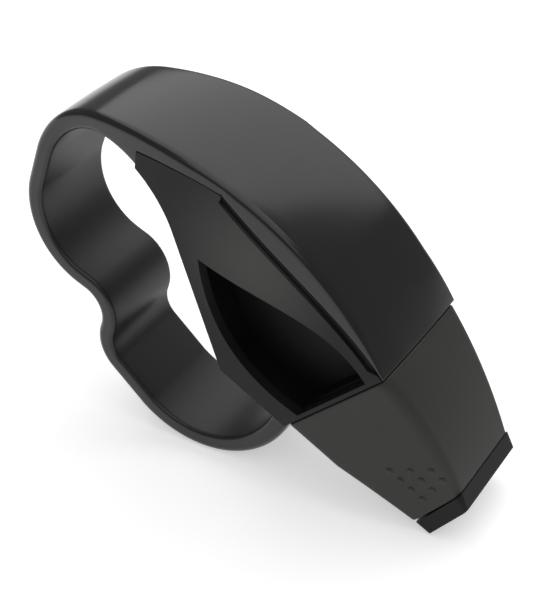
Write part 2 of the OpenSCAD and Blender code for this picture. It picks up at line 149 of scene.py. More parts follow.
class WhistleBodySizes(bpy.types.PropertyGroup):
    """Plan and side view of the chambers and the mouthpiece"""

    width: length("Body width", 0.0195, "Width over the two side covers")
    taper_forward: length("Taper forward", -0.0084, "Where the body starts to narrow")
    taper_length: length("Taper length", 0.027, "Length over which it narrows")
    belly_forward: length("Belly forward", 0.0044, "Where the underside starts")
    belly_height: length("Belly height", 0.0043, "Height of the underside there")
    tip_low_forward: length("Tip foot forward", 0.037, "Lower front corner")
    tip_low_height: length("Tip foot height", -0.0005, "Height of that corner")
    tip_high_forward: length("Tip crown forward", 0.0392, "Upper front corner")
    tip_high_height: length("Tip crown height", 0.0064, "Height of that corner")
    tip_width: length("Tip width", 0.0139, "Width of the mouthpiece at its tip")
    bulge: length("Top bulge", 0.0011, "Bulge of the mouthpiece's top")
    grip_foot_forward: length("Grip foot forward", 0.015, "Foot of the soft grip's rear edge")
    grip_wall: length("Grip wall", 0.0013, "Thickness of the soft grip")
    grip_step: length("Grip step", 0.00012, "How far the grip lies under the band's face")
    grip_edge: length("Grip edge radius", 0.0016, "Rounding of the grip's long edges")
    grip_rim: length("Grip rim radius", 0.0003, "Rounding of the grip's two ends")
    lip_length: length("Lip length", 0.0021, "Hard tip in front of the grip")
    lip_rise: length("Lip rise", 0.00015, "How far that tip stands out in the CAD")
    lip_side: length("Lip side", 0.0002, "How much wider its front is made on each side")
    lip_top: length("Lip top", 0.00025, "How much higher it is made")
    lip_over: length("Lip flare", 0.00016, "How far the tip's rear edge stands over the grip")
    lip_edge: length("Lip corner", 0.0007, "Rounding of the tip's corners")
    gap: length("Gap", 0.00005, "Gap between pieces that are pressed together")
    groove_depth: length("Groove depth", 0.0005, "Depth of the groove under the seam")
    groove_height: length("Groove height", 0.00065, "Height of that groove in the CAD")
    groove_opening: length("Groove opening", 0.0004, "How much higher it is made")
    cover_edge: length("Cover edge radius", 0.00012, "Rounding of the covers' edges")
    core_edge: length("Core edge radius", 0.00012, "Rounding of the core's edges")


class WhistlePipSizes(bpy.types.PropertyGroup):
    """Raised bite pips on both sides of the mouth grip"""

    radius: length("Pip radius", 0.00045, "Radius of a pip")
    height: length("Pip height", 0.0002, "How far a pip stands over the grip")
    pitch: length("Pip pitch", 0.0018, "Distance between pips in a row")
    row_gap: length("Row gap", 0.0023, "Distance between rows")
    forward: length("First pip forward", 0.0289, "Place of the rearmost pip of the lowest row")
    up: length("First pip height", 0.0062, "Height of that pip")
    shift: number("Shift", 0.84, "How many pitches each row starts further on")
    slope: number("Row slope", -0.305, "Slope of the rows in the side view", unit="ROTATION")
    rows: whole("Rows", 3, "Rows of pips, each one pip shorter")
    columns: whole("Columns", 4, "Pips in the lowest row")


class WhistleFinish(bpy.types.PropertyGroup):
    """Colours of the four finishes, and a painted highlight on the covers"""

    band: colour("Band", (0.0105, 0.0108, 0.0099), "Black plastic of the band")
    cover: colour("Covers", (0.012, 0.0125, 0.0115), "Charcoal plastic of the side covers")
    # painted highlight: the covers turn paler round a middle point, as if light falls there
    cover_rubbed: colour("Covers highlight", (0.082, 0.086, 0.08), "Paler tone painted as a highlight")
    patch_forward: length("Patch forward", 0.003, "Middle of that patch")
    patch_up: length("Patch height", 0.0226, "Height of its middle")
    patch_radius: length("Patch radius", 0.0145, "Reach of that patch")
    # also laid on the covers' groove floor as painted shade
    core: colour("Core", (0.007, 0.0072, 0.007), "Dark plastic of the core, the lid and the tip")
    soft: colour("Mouth grip", (0.024, 0.024, 0.022), "Soft rubber of the mouth grip")


class WhistleStage(bpy.types.PropertyGroup):
    """Camera, floor, card and lights"""

    lens: number("Lens", 90.2, "Focal length in millimetres")
    camera_place: triple("Camera place", (0.04129, -0.13533, 0.14053), "Place in the side view",
                         "XYZ", unit="LENGTH", precision=5)
    camera_right: triple("Camera right", (0.8017, 0.515, 0.3034), "Its right direction there",
                         "DIRECTION")
    camera_aim: triple("Camera aim", (-0.1954, 0.7055, -0.6812), "Its viewing direction there",
                       "DIRECTION")
    floor_size: length("Floor size", 6.0, "Side of the square floor")
    card_gap: length("Card distance", 0.2, "Distance of the grey card from the object's middle")
    card_height: length("Card height", 0.3, "Height of that card")
    card_width: length("Card width", 0.25, "How far it reaches to its right")
    card_foot: length("Card foot", 0.006, "How far its foot reaches to its left")
    card_lean: number("Card lean", 0.31, "Lean of its left edge")
    card_turn: number("Card turn", math.radians(45), "Direction in which the card stands",
                      unit="ROTATION")
    key_power: number("Key power", 6.0, "Power of the big soft light in watts", min=0)
    fill_power: number("Fill power", 1.8, "Power of the front light in watts", min=0)


# Side view


def plane(forward, up):
    """A point of the side view as a vector."""
    return Vector((forward, up))


def facing(angle):
    """Unit vector of the side view at an angle in degrees."""
    a = math.radians(angle)
    return plane(math.cos(a), math.sin(a))


def turned(v):
    """The vector turned a quarter to the left."""
    return plane(-v.y, v.x)


def depth_to(point, out, centre, radius):
    """Distance from a point on the crest to a circle under it."""
    gap = point - centre
    along = gap.dot(out)
    return along - math.sqrt(along * along - (gap.dot(gap) - radius * radius))


def limited(u):
    return min(max(u, 0.0), 1.0)


class SideView:
    """Centres, corners and lines that the pieces share, worked out from the sizes."""

    def __init__(self, band, body):
        self.band, self.body = band, body
        b = band
        self.crest_centre = plane(b.crest_forward, b.crest_height - b.crest_radius)
        self.rear_low = plane(b.rear_low_radius - b.rear_reach, b.rear_low_radius - b.rear_drop)
        rear_x = b.rear_high_radius - b.rear_reach
        reach = b.crest_radius - b.rear_high_radius
        rise = math.sqrt(reach ** 2 - (rear_x - self.crest_centre.x) ** 2)
        self.rear_high = plane(rear_x, self.crest_centre.y + rise)
        self.waist = plane(-b.front_radius - b.waist_radius, -b.rear_drop - b.waist_radius)
        self.corner = plane(b.corner_radius - b.front_radius, -b.corner_drop)
        run = self.rear_high - self.crest_centre
        self.crest_end = math.degrees(math.atan2(run.y, run.x))
        self.nose_angle = self.crest_angle(b.nose_forward)
        self.seam_angle = self.crest_angle(b.seam_forward)
        self.shoulder_angle = self.crest_angle(b.shoulder_forward)
        self.corner_end = 360 - 2 * math.degrees(
            math.atan2(b.front_radius - b.corner_radius, b.corner_drop))

        m = body
        self.belly = plane(m.belly_forward, m.belly_height)
        self.tip_low = plane(m.tip_low_forward, m.tip_low_height)
        self.tip_high = plane(m.tip_high_forward, m.tip_high_height)
        self.tip_up = (self.tip_high - self.tip_low).normalized()
        self.under = (self.tip_low - self.belly).normalized()
        self.grip_foot = plane(m.grip_foot_forward, self.under_height(m.grip_foot_forward))
        nose = self.crest_centre + b.crest_radius * facing(self.nose_angle)
        self.nose_low = nose - m.grip_step * (nose - self.grip_foot).normalized()
        self.tip_front = plane(self.tip_up.y, -self.tip_up.x)
        self.top_run = (self.tip_high - self.nose_low).dot(self.tip_front)

        foot = self.tip_low - m.lip_rise * self.tip_up
        crown = self.tip_high + m.lip_rise * self.tip_up
        self.tilt = math.asin(b.front_radius / foot.length) + math.atan2(foot.y, foot.x)
        rear_end = self.along(self.rear_low) - b.rear_low_radius
        self.middle = (rear_end + self.along(crown)) / 2

    def crest_angle(self, forward):
        reach = (forward - self.crest_centre.x) / self.band.crest_radius
        return math.degrees(math.acos(reach))

    def seat_depth(self, angle):
        """Thickness of the band on the chambers, at an angle of the crest."""
        b = self.band
        u = (angle - self.nose_angle) / (self.seam_angle - self.nose_angle)
        if u < 1:
            w = max(u, 0) ** b.seam_lean
            return b.nose_depth + (b.seam_depth - b.nose_depth) * u + b.seam_rise * 4 * w * (1 - w)
        v = (angle - self.seam_angle) / (self.shoulder_angle - self.seam_angle)
        return b.seam_depth + (b.strap_depth - b.seam_depth) * v

    def under_height(self, forward):
        return self.belly.y + (forward - self.belly.x) * self.under.y / self.under.x

    def along(self, p):
        return p.x * math.cos(self.tilt) + p.y * math.sin(self.tilt)

    def half_width(self, forward):
        """Half the body's width at a distance along it."""
        b, m = self.band, self.body
        u = limited((m.taper_forward - forward) / m.taper_length)
        v = limited((forward - b.nose_forward) / (self.tip_high.x - b.nose_forward))
        return (m.width - (m.width - b.strap_width) * u * u * (3 - 2 * u)
                - (m.width - m.tip_width) * v) / 2

    def stood(self, v, is_point=True):
        """A point or direction of the side view, standing on the floor."""
        c, s = math.cos(self.tilt), math.sin(self.tilt)
        x, z = v.x * c + v.y * s, -v.x * s + v.y * c
        if is_point:
            x, z = x - self.middle, z + self.band.front_radius
        return Vector((x, 0, z))

    def lying(self, v):
        """A standing point as a point of the side view."""
        c, s = math.cos(self.tilt), math.sin(self.tilt)
        x, z = v.x + self.middle, v.z - self.band.front_radius
        return plane(x * c - z * s, x * s + z * c)

    def stood_3d(self, v, is_point=True):
        """The same for a point or direction that has a place across the body."""
        x, y, z = v
        return self.stood(plane(x, z), is_point) + y * ACROSS

    def mouth_low(self, u):
        return self.grip_foot.lerp(self.tip_low, u)

    def mouth_high(self, u):
        run = self.tip_high - self.nose_low
        return self.nose_low + u * run + 4 * u * (1 - u) * self.body.bulge * turned(run.normalized())


def side_view(scene):
    """The side view that the scene's sizes give."""
    return SideView(scene.whistle_band, scene.whistle_body)


# Mesh helpers


def new_object(name, data):
    made = bpy.data.objects.new(name, data)
    bpy.context.scene.collection.objects.link(made)
    return made


def filled(mesh, bm):
    """Moves a bmesh into a mesh."""
    bm.to_mesh(mesh)
    bm.free()


def shaded(mesh, smooth_angle):
    """Shades a mesh smooth where its faces meet at less than an angle in degrees."""
    mesh.shade_smooth()
    mesh.set_sharp_from_angle(angle=math.radians(smooth_angle))


def applied(piece):
    """Replaces a piece's modifiers by the mesh that they give."""
    graph = bpy.context.evaluated_depsgraph_get()
    made = bpy.data.meshes.new_from_object(piece.evaluated_get(graph), depsgraph=graph)
    piece.modifiers.clear()
    old, piece.data = piece.data, made
    bpy.data.meshes.remove(old)
    return made


def plain(piece, smooth_angle):
    """Applies a piece's modifiers, turns its faces outward and shades it."""
    made = applied(piece)
    bm = bmesh.new()
    bm.from_mesh(made)
    bmesh.ops.recalc_face_normals(bm, faces=bm.faces)
    filled(made, bm)
    shaded(made, smooth_angle)


def evened(piece):
    """Lets the large faces shade flat and the rounded edges between them shade smooth."""
    piece.modifiers.new("weights", "WEIGHTED_NORMAL").keep_sharp = True
    applied(piece)


# Node helpers


class Output:
    """A node's output. Each operation on it adds a node to its tree and gives that output."""

    def __init__(self, socket):
        self.socket, self.tree = socket, socket.id_data

    def maths(self, operation, *others):
        return placed(self.tree, "ShaderNodeMath", self, *others, operation=operation)

    def __add__(self, other):
        return self.maths("ADD", other)

    def __sub__(self, other):
        return self.maths("SUBTRACT", other)

    def __rsub__(self, other):
        return placed(self.tree, "ShaderNodeMath", other, self, operation="SUBTRACT")

    def __mul__(self, other):
        return self.maths("MULTIPLY", other)

    def __truediv__(self, other):
        return self.maths("DIVIDE", other)

    def clamped(self):
        return placed(self.tree, "ShaderNodeClamp", Value=self)

    def vector(self, operation, *others, **more):
        return placed(self.tree, "ShaderNodeVectorMath", self, *others, operation=operation,
                      **more)

    def scaled(self, factor):
        return self.vector("SCALE", Scale=factor)

    def beside(self, name):
        """Another output of the same node."""
        return Output(self.socket.node.outputs[name])


def link_or_set(socket, value):
    """Feeds a socket with another node's output or with a plain value."""
    if isinstance(value, Output):
        value.tree.links.new(value.socket, socket)
    else:
        socket.default_value = (*value, 1) if socket.type == "RGBA" else value


def fed(node, **named):
    """Feeds a node's inputs by name."""
    for name, value in named.items():
        link_or_set(node.inputs[name.replace("_", " ")], value)


def placed(tree, kind, *values, output=0, **named):
    """Adds a node and gives an output. Settings have lower-case names, inputs capitals."""
    node = tree.nodes.new(kind)
    for name in [name for name in named if name.islower()]:
        setattr(node, name, named.pop(name))
    for socket, value in zip(node.inputs, values):
        link_or_set(socket, value)
    fed(node, **named)
    return Output(node.outputs[output])


def node_tree(kind, name, inputs, outputs):
    """A tree whose sockets are listed by kind, with its inputs by name and its output node."""
    tree = bpy.data.node_groups.new(name, kind)
    for way, sockets in (("INPUT", inputs), ("OUTPUT", outputs)):
        for socket, labels in sockets.items():
            for label in labels.split(", "):
                tree.interface.new_socket(label, in_out=way, socket_type=f"NodeSocket{socket}")
    given = {socket.name: Output(socket) for socket in tree.nodes.new("NodeGroupInput").outputs}
    return tree, given, tree.nodes.new("NodeGroupOutput")


def geometry_tree(name, sockets):
    """A Geometry Nodes tree that takes a geometry, named inputs and a finish."""
    tree, given, out = node_tree(
        "GeometryNodeTree", name,
        {"Geometry": "Geometry", **sockets, "Material": "Finish"}, {"Geometry": "Geometry"})
    tree.is_modifier = True
    return tree, given, out


def finish_tree(geometry, given, out):
    """Ends a tree in Realize Instances and Set Material."""
    real = placed(geometry.tree, "GeometryNodeRealizeInstances", Geometry=geometry)
    fed(out, Geometry=placed(geometry.tree, "GeometryNodeSetMaterial", Geometry=real,
                             Material=given["Finish"]))


def with_tree(piece, tree, values):
    """Puts a tree on a piece, with its inputs set by socket identifier."""
    modifier = piece.modifiers.new(tree.name, "NODES")
    modifier.node_group = tree
    for item in tree.interface.items_tree:
        if item.in_out == "INPUT" and item.name in values:
            modifier[item.identifier] = values[item.name]


# Band


def rounded_sweep_tree():
    """Sweeps a rounded rectangle, whose size is kept on each station, along a path.

    Round the section, a count runs from the middle of one side to the middle of the
    top and so on: a third of each quarter is side, a third is corner, a third is face.
    """
    tree, given, out = geometry_tree("rounded_sweep", {
        "Float": "Outer edge radius, Crown", "Int": "Corner steps"})
    path, steps = given["Geometry"], given["Corner steps"]
    count = placed(tree, "GeometryNodeAttributeDomainSize", Geometry=path, output="Point Count")
    quarter = steps * 3.0
    columns = steps * 12.0 + 1.0
    grid = placed(tree, "GeometryNodeMeshGrid", Vertices_X=count, Vertices_Y=columns)
    index = placed(tree, "GeometryNodeInputIndex")
    ring = ((index + 0.5) / columns).maths("FLOOR")
    step = index - ring * columns

    def station(name, kind="FLOAT"):
        """A value kept on the path, read for the ring that a point belongs to."""
        if name == "position":
            source = placed(tree, "GeometryNodeInputPosition")
        else:
            source = placed(tree, "GeometryNodeInputNamedAttribute", data_type=kind, Name=name)
        return placed(tree, "GeometryNodeSampleIndex", data_type=kind, Geometry=path,
                      Index=ring, Value=source)

    centre, out_way = station("position", "FLOAT_VECTOR"), station("outward", "FLOAT_VECTOR")
    half_depth, half_width = station("half_depth"), station("half_width")

    third = step.maths("PINGPONG", quarter) / steps
    level = third.clamped()
    turn = (third - 1.0).clamped() * (math.pi / 2)
    side = 1.0 - (third - 2.0).clamped()
    from_top = (step - quarter * 2.0).maths("ABSOLUTE")
    right = from_top.maths("GREATER_THAN", quarter) * 2.0 - 1.0
    on_top = step.maths("LESS_THAN", quarter * 2.0)
    up = on_top * 2.0 - 1.0
    chosen = placed(tree, "GeometryNodeSwitch", input_type="FLOAT", **{
        "Switch": on_top, "False": station("inner_edge"), "True": given["Outer edge radius"]})
    radius = chosen.maths("MINIMUM", half_depth.maths("MINIMUM", half_width))

    def reach(half, share, wave):
        """Distance from the middle: a share of the straight part and the corner's arc."""
        return share * (half - radius) + radius * turn.maths(wave)

    across = right * reach(half_width, side, "COSINE")
    high = up * reach(half_depth, level, "SINE")
    share = across / half_width.maths("MAXIMUM", TOUCH)
    fall = share * share * (given["Crown"] * (high / half_depth))
    high = high - fall * on_top
    forward = out_way.vector("CROSS_PRODUCT", tuple(ACROSS))
    place = centre.vector("ADD", out_way.scaled(high))
    place = place.vector("ADD", forward.scaled(station("lean") * high))
    place = place.vector("ADD", placed(tree, "ShaderNodeCombineXYZ", Y=across))

    kept = grid
    for name, value in (("edge", (turn * 2.0).maths("SINE")),
                        ("finger_side", (1.0 - on_top) * (turn / (math.pi / 2)))):
        kept = placed(tree, "GeometryNodeStoreNamedAttribute", Geometry=kept, Name=name,
                      Value=value)
    moved = placed(tree, "GeometryNodeSetPosition", Geometry=kept, Position=place)
    merged = placed(tree, "GeometryNodeMergeByDistance", Geometry=moved, Distance=TOUCH)
    finish_tree(merged, given, out)
    return tree


def rounding(radius):
    """Steps round an end as (inset, distance from the end), from the end's face inward."""
    angles = [math.pi / 2 * i / END_STEPS for i in range(END_STEPS + 1)]
    return [(radius * (1 - math.sin(a)), radius * (1 - math.cos(a))) for a in angles]


def band_stations(view):
    """Stations along the outer face: point, outward way, depth, half width, inner edge."""
    b, gap = view.band, view.body.gap
    rows = []

    def arc(centre, radius, start, end, step, side=1, skip=1, depth=None, edge=b.finger_edge):
        count = max(1, math.ceil(abs(end - start) / step))
        for i in range(skip, count + 1):
            angle = start + (end - start) * i / count
            point = centre + radius * facing(angle)
            narrow = view.half_width(point.x) if point.y > view.rear_low.y else b.strap_width / 2
            rows.append([point, side * facing(angle), depth(angle) if depth else b.strap_depth,
                         narrow - gap, edge])

    def on_seat(angle):
        return view.seat_depth(angle) + gap

    def on_scoop(angle):
        out = facing(angle)
        point = view.crest_centre + b.crest_radius * out
        return max(b.strap_depth, depth_to(point, out, view.rear_low, b.scoop_radius))

    draft = math.degrees(b.shoulder_run / b.crest_radius)
    crest = view.crest_centre, b.crest_radius
    arc(*crest, view.nose_angle, view.seam_angle, CREST_STEP, skip=0, depth=on_seat,
        edge=b.seam_edge)
    arc(*crest, view.seam_angle, view.shoulder_angle, CREST_STEP, depth=on_seat,
        edge=b.seat_edge)
    arc(*crest, view.shoulder_angle + draft, view.crest_end, CREST_STEP, skip=0, depth=on_scoop)
    arc(view.rear_high, b.rear_high_radius, view.crest_end, 180, LOOP_STEP)
    arc(view.rear_low, b.rear_low_radius, 180, 270, LOOP_STEP)
    arc(view.waist, b.waist_radius, 90, 0, WAIST_STEP, side=-1)
    arc(view.corner, b.corner_radius, 180, view.corner_end, CORNER_STEP)
    arc(plane(0, 0), b.front_radius, view.corner_end, 360, LOOP_STEP)
    return rows


def band_path(view):
    """The band's centre line as a string of points that carry the section's size."""
    b, gap = view.band, view.body.gap
    rows = [[point - out * depth / 2, out, depth / 2, half, 0.0, edge]
            for point, out, depth, half, edge in band_stations(view)]

    # the front end is rounded and closes to a point
    centre, out, half_depth, half, _, edge = rows[0]
    forward = -turned(out)
    rows[0:1] = [[centre, out, 0.0, 0.0, 0.0, edge]] + [
        [centre - forward * back, out, half_depth - inset, half - inset, 0.0, edge]
        for inset, back in rounding(b.end_edge)]

    # the strap ends flat under the body, and its lug goes into the core
    slope = view.under.y / view.under.x
    x = b.front_radius - b.strap_depth / 2
    for half_depth, half, rise in ((b.strap_depth / 2, b.strap_width / 2 - gap, 0.0),
                                   (b.lug_depth / 2, b.lug_width / 2, 0.0),
                                   (b.lug_depth / 2, b.lug_width / 2, b.lug_height),
                                   (0.0, 0.0, b.lug_height)):
        rows.append([plane(x, view.under_height(x) - gap + rise), plane(1, 0), half_depth, half,
                     slope, b.finger_edge])
    mesh = bpy.data.meshes.new("band_path")
    mesh.from_pydata([view.stood(row[0]) for row in rows],
                     [(i, i + 1) for i in range(len(rows) - 1)], [])
    outward = mesh.attributes.new("outward", "FLOAT_VECTOR", "POINT")
    for item, row in zip(outward.data, rows):
        item.vector = view.stood(row[1], is_point=False)
    for column, name in enumerate(("half_depth", "half_width", "lean", "inner_edge"), 2):
        values = mesh.attributes.new(name, "FLOAT", "POINT")
        for item, row in zip(values.data, rows):
            item.value = row[column]
    return mesh


class WHISTLE_OT_band(bpy.types.Operator):
    """Sweep the band over the crest and round both fingers"""

    bl_idname = "whistle.band"
    bl_label = "Band"

    def execute(self, context):
        scene = context.scene
        b = scene.whistle_band
        piece = new_object("finger_band", band_path(side_view(scene)))
        with_tree(piece, rounded_sweep_tree(), {
            "Outer edge radius": b.top_edge, "Crown": b.crown, "Corner steps": ROUND_STEPS,
            "Finish": band_finish(scene.whistle_finish.band)})
        plain(piece, HARD_SHADE)
        evened(piece)
        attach(piece, BODY)
        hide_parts("grip_band")
        return {"FINISHED"}


# Mouth grip


def sleeve_ring(view, u, inset):
    """Points round the mouth grip at a share of its length, drawn in by an inset."""
    m = view.body
    high, low = view.mouth_high(u), view.mouth_low(u)
    height = (high - low).length
    down = (low - high) / height
    half = view.half_width(high.x)
    edge = m.grip_edge + (m.lip_edge - m.grip_edge) * u ** EDGE_POWER
    radius = max(edge - inset, m.gap)
    points = []
    for corner, (side, end) in enumerate(((1, 0), (-1, 0), (-1, 1), (1, 1))):
        for i in range(ROUND_STEPS + 1):
            turn = facing(90 * (corner + i / ROUND_STEPS))
            across = side * (half - inset - radius) + radius * turn.x
            drop = inset + radius if end == 0 else height - inset - radius
            p = high + down * (drop - radius * turn.y)
            share = across / half
            place = view.stood(p)
            place.y = share * (view.half_width(p.x) - m.gap)
            points.append(place)
    return points


def sleeve_rows(view):
    """Rows of the sleeve as [share of its length, inset], outside then inside."""
    m = view.body
    run = (view.tip_high - view.nose_low).length
    start = 2 * m.gap / view.top_run
    end = 1 - (m.lip_length + 2 * m.gap) / view.top_run
    total = (end - start) * run
    rim = rounding(m.grip_rim)
    rows = [(0, m.grip_wall)] + [(s, inset) for inset, s in rim]
    for i in range(1, OUTER_ROWS):
        rows.append((m.grip_rim + (total - 2 * m.grip_rim) * i / OUTER_ROWS, 0))
    rows += [(total - s, inset) for inset, s in rim[::-1]]
    rows.append((total, m.grip_wall))
    for i in range(1, INNER_ROWS):
        rows.append((total * (1 - i / INNER_ROWS), m.grip_wall))
    return [(start + s / run, inset) for s, inset in rows]


def sleeve_mesh(view):
    """The sleeve's rings joined row by row, out over the grip and back inside it."""
    bm = bmesh.new()
    rings = [[bm.verts.new(p) for p in sleeve_ring(view, u, inset)]
             for u, inset in sleeve_rows(view)]
    for ring, ahead in zip(rings, rings[1:] + rings[:1]):
        n = len(ring)
        for i in range(n):
            bm.faces.new((ring[i], ahead[i], ahead[(i + 1) % n], ring[(i + 1) % n]))
    bmesh.ops.remove_doubles(bm, verts=bm.verts, dist=TOUCH)
    bmesh.ops.recalc_face_normals(bm, faces=bm.faces)
    mesh = bpy.data.meshes.new("mouth_sleeve")
    filled(mesh, bm)
    shaded(mesh, SOFT_SHADE)
    return mesh


def pip_tree():
    """Rows of pips on both sides of the geometry, each row set forward and one pip shorter."""
    tree, given, out = geometry_tree("bite_pips", {
        "Int": "Rows, Columns", "Float": "Pitch, Row gap, Shift, Radius, Height, Slope",
        "Vector": "Place"})
    columns, slope = given["Columns"], given["Slope"]
    points = placed(tree, "GeometryNodePoints", Count=given["Rows"] * columns * 2.0)
    index = placed(tree, "GeometryNodeInputIndex")
    outward = index.maths("MODULO", 2.0) * 2.0 - 1.0
    item = (index / 2.0).maths("FLOOR")
    row = ((item + 0.5) / columns).maths("FLOOR")
    column = item - row * columns
    along = (column + row * given["Shift"]) * given["Pitch"]
    rise = row * given["Row gap"]
    cos, sin = slope.maths("COSINE"), slope.maths("SINE")
    flat = placed(tree, "ShaderNodeCombineXYZ", X=along * cos - rise * sin,
                  Z=along * sin + rise * cos)
    way = placed(tree, "ShaderNodeCombineXYZ", Y=outward)
    source = given["Place"].vector("ADD", flat).vector("ADD", way.scaled(RAY_START))
    hit = placed(tree, "GeometryNodeRaycast", Target_Geometry=given["Geometry"],
                 Source_Position=source, Ray_Direction=way.scaled(-1.0),
                 Ray_Length=2 * RAY_START, output="Hit Position")
    moved = placed(tree, "GeometryNodeSetPosition", Geometry=points, Position=hit)
    turn = placed(tree, "FunctionNodeAlignRotationToVector", axis="Z",
                  Vector=hit.beside("Hit Normal"))
    ball = placed(tree, "GeometryNodeMeshUVSphere", Segments=20, Rings=12,
                  Radius=given["Radius"])
    squash = placed(tree, "ShaderNodeCombineXYZ", X=1.0, Y=1.0,
                    Z=given["Height"] / given["Radius"])
    dome = placed(tree, "GeometryNodeTransform", Geometry=ball, Scale=squash)
    smooth = placed(tree, "GeometryNodeSetShadeSmooth", Geometry=dome)
    in_row = (column + row).maths("LESS_THAN", columns - 0.5)
    pips = placed(tree, "GeometryNodeInstanceOnPoints", Points=moved,
                  Selection=in_row * hit.beside("Is Hit"), Instance=smooth, Rotation=turn)
    finish_tree(pips, given, out)
    return tree


class WHISTLE_OT_mouth_grip(bpy.types.Operator):
    """Build the soft mouth grip and its bite pips"""

    bl_idname = "whistle.mouth_grip"
    bl_label = "Mouth grip"

    def execute(self, context):
        scene = context.scene
        view = side_view(scene)
        rubber = soft_finish(scene.whistle_finish.soft)
        sleeve = new_object("mouth_sleeve", sleeve_mesh(view))
        sleeve.data.materials.append(rubber)
        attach(sleeve, BODY)
        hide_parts("mouth_grip")

        p = scene.whistle_pips
        pips = new_object("bite_pips", sleeve.data.copy())
        with_tree(pips, pip_tree(), {
            "Rows": p.rows, "Columns": p.columns, "Pitch": p.pitch, "Row gap": p.row_gap,
            "Shift": p.shift, "Radius": p.radius, "Height": p.height,
            "Place": view.stood(plane(p.forward, p.up)), "Slope": p.slope - view.tilt,
            "Finish": rubber})
        plain(pips, SOFT_SHADE)
        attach(pips, BODY)
        return {"FINISHED"}


# Softened pieces


def softened(node, name, width, finishes, change):
    """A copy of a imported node, changed, with its triangles merged and its edges rounded."""
    bm = bmesh.new()
    bm.from_mesh(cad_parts[node].data)
    bmesh.ops.remove_doubles(bm, verts=bm.verts, dist=2 * TOUCH)
    bmesh.ops.dissolve_limit(bm, angle_limit=math.radians(FLAT_ANGLE), verts=bm.verts,
                             edges=bm.edges)
    mesh = bpy.data.meshes.new(name)
    for finish in finishes:
        mesh.materials.append(finish)
    for face in bm.faces:
        face.material_index = 0
    change(bm)
    filled(mesh, bm)
    piece = new_object(name, mesh)
    bevel = piece.modifiers.new("edges", "BEVEL")
    bevel.width = width
    bevel.segments = 2
    bevel.limit_method = "ANGLE"
    bevel.angle_limit = math.radians(EDGE_ANGLE)
    bevel.miter_outer = "MITER_ARC"
    plain(piece, HARD_SHADE)
    evened(piece)
    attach(piece, BODY)
    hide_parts(node)
    return piece


def opened_groove(view, bm):
    """Widens the groove under the seam and gives its floor the second, darker finish as painted
    shade.
    """
    b, m = view.band, view.body
    floor = m.width / 2 - m.groove_depth
    for vert in bm.verts:
        point = view.lying(vert.co)
        way = point - view.crest_centre
        angle = math.degrees(math.atan2(way.y, way.x))
        below = b.crest_radius - way.length - view.seat_depth(angle)
        if (view.nose_angle < angle < view.seam_angle and abs(vert.co.y) > floor - m.gap
                and abs(below - m.groove_height) < 2 * m.gap):
            vert.co -= m.groove_opening * view.stood(way.normalized(), is_point=False)
    # painted shade: the groove floor takes the core's darker finish
    for face in bm.faces:
        if all(abs(abs(vert.co.y) - floor) < m.gap / 2 for vert in face.verts):
            face.material_index = 1


class WHISTLE_OT_covers(bpy.types.Operator):
    """Round the edges of the two side covers"""

    bl_idname = "whistle.covers"
    bl_label = "Side covers"

    def execute(self, context):
        scene = context.scene
        view = side_view(scene)
        finish = scene.whistle_finish
        # the covers' painted highlight, and the core's darker finish as painted shade in the groove
        painted_highlight = view.stood(plane(finish.patch_forward, finish.patch_up))
        finishes = (cover_finish(finish.cover, finish.cover_rubbed, painted_highlight, finish.patch_radius),
                    core_finish(finish.core))
        for side in ("left", "right"):
            piece = softened(f"{side}_chamber_cover", f"{side}_side_cover", view.body.cover_edge,
                             finishes, functools.partial(opened_groove, view))
        return {"FINISHED"}


def flared_lip(view, bm):
    """Squares the hard tip's corners and flares its rear, so that it follows the soft grip."""
    m = view.body
    half, low, high = m.tip_width / 2 + m.lip_rise, -m.lip_rise, m.lip_rise
    high += (view.tip_high - view.tip_low).length
    radius = m.grip_edge + m.lip_rise
    u = 1 - m.lip_length / view.top_run
    top, foot = view.mouth_high(u), view.mouth_low(u)
    rings = ((0.0, half + m.lip_side, low, high + m.lip_top),
             (-m.lip_length, view.half_width(top.x) + m.lip_over,
              (foot - view.tip_low).dot(view.tip_up) - m.lip_over / 2,
              (top - view.tip_low).dot(view.tip_up) + m.lip_over))
    for vert in bm.verts:
        step = view.lying(vert.co) - view.tip_low
        along, height, across = step.dot(view.tip_front), step.dot(view.tip_up), vert.co.y
        side = 1 if across > 0 else -1
        level = -1 if height < (low + high) / 2 else 1
        way = plane(across - side * (half - radius),
                    height - (low + radius if level < 0 else high - radius)) / radius
        if (abs(way.length - 1) > ON_ROUND or way.x * side < -ON_ROUND
                or way.y * level < -ON_ROUND):
            continue
        for place, new_half, new_low, new_high in rings:
            if abs(along - place) < m.gap:
                edge = new_low + m.lip_edge if level < 0 else new_high - m.lip_edge
                across = side * (new_half - m.lip_edge) + way.x * m.lip_edge
                height = edge + way.y * m.lip_edge
                point = view.tip_low + place * view.tip_front + height * view.tip_up
                vert.co = view.stood(point) + across * ACROSS


class WHISTLE_OT_core(bpy.types.Operator):
    """Finish the core with its hard tip, the lid and the windway floor"""

    bl_idname = "whistle.core"
    bl_label = "Core"

    def execute(self, context):
        scene = context.scene
        view = side_view(scene)
        finish = core_finish(scene.whistle_finish.core)
        piece = softened("chamber_core", "whistle_core", view.body.core_edge, [finish],
                         functools.partial(flared_lip, view))
        for node in ("centre_chamber_lid", "windway_floor"):
            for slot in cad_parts[node].material_slots:
                slot.material = finish
        return {"FINISHED"}


# Finishes


def new_material(name):
    """A material with nodes, with its tree and its Principled shader."""
    material = bpy.data.materials.new(name)
    material.use_nodes = True
    return material, material.node_tree, material.node_tree.nodes["Principled BSDF"]


def mixed(share, first, second):
    """Goes from one colour to another by a share between 0 and 1."""
    mix = placed(share.tree, "ShaderNodeMix", data_type="RGBA", output=2)
    for index, value in ((0, share), (6, first), (7, second)):
        link_or_set(mix.socket.node.inputs[index], value)
    return mix


